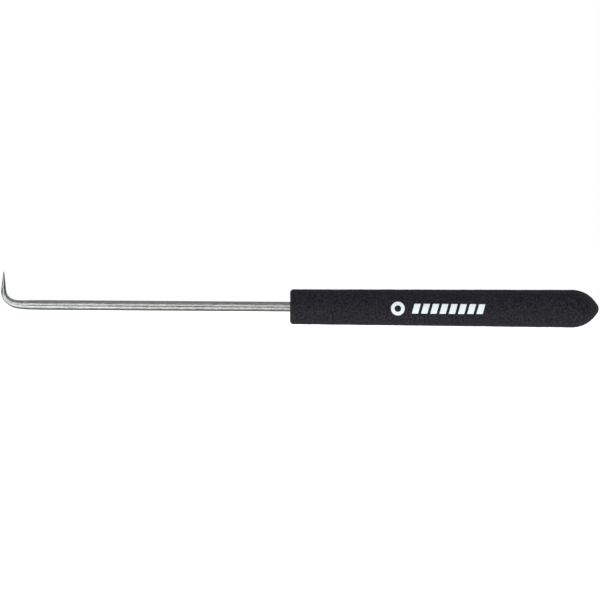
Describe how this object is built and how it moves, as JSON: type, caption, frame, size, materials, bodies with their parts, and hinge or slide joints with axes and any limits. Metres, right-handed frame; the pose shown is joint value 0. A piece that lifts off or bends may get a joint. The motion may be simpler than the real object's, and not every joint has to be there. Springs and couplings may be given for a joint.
{
  "type": "hook pick",
  "caption": "Slim hand pick: a tapered steel rod with its sharp point bent up at a right angle, in a black cushion grip with a closed pointed end.",
  "frame": {"origin": "on the shank's axis, in the plane of the grip's front face, where the steel enters the handle", "axes": "+X along the tool from the hook to the grip's closed tip, +Z the way the hook's leg points, Y across the tool"},
  "size_m": [0.2476, 0.0156, 0.0216],
  "materials": {
    "steel": "bright ground steel with fine drawn lines along the rod",
    "core_plastic": "moulded, matt",
    "foam_vinyl": "matt, fine pebbled foam skin",
    "print_ink": "flat white pad print"
  },
  "bodies": {
    "root": {"hook_shaft": "steel", "handle_core": "core_plastic", "cushion_grip": "foam_vinyl"}
  },
  "joints": []
}
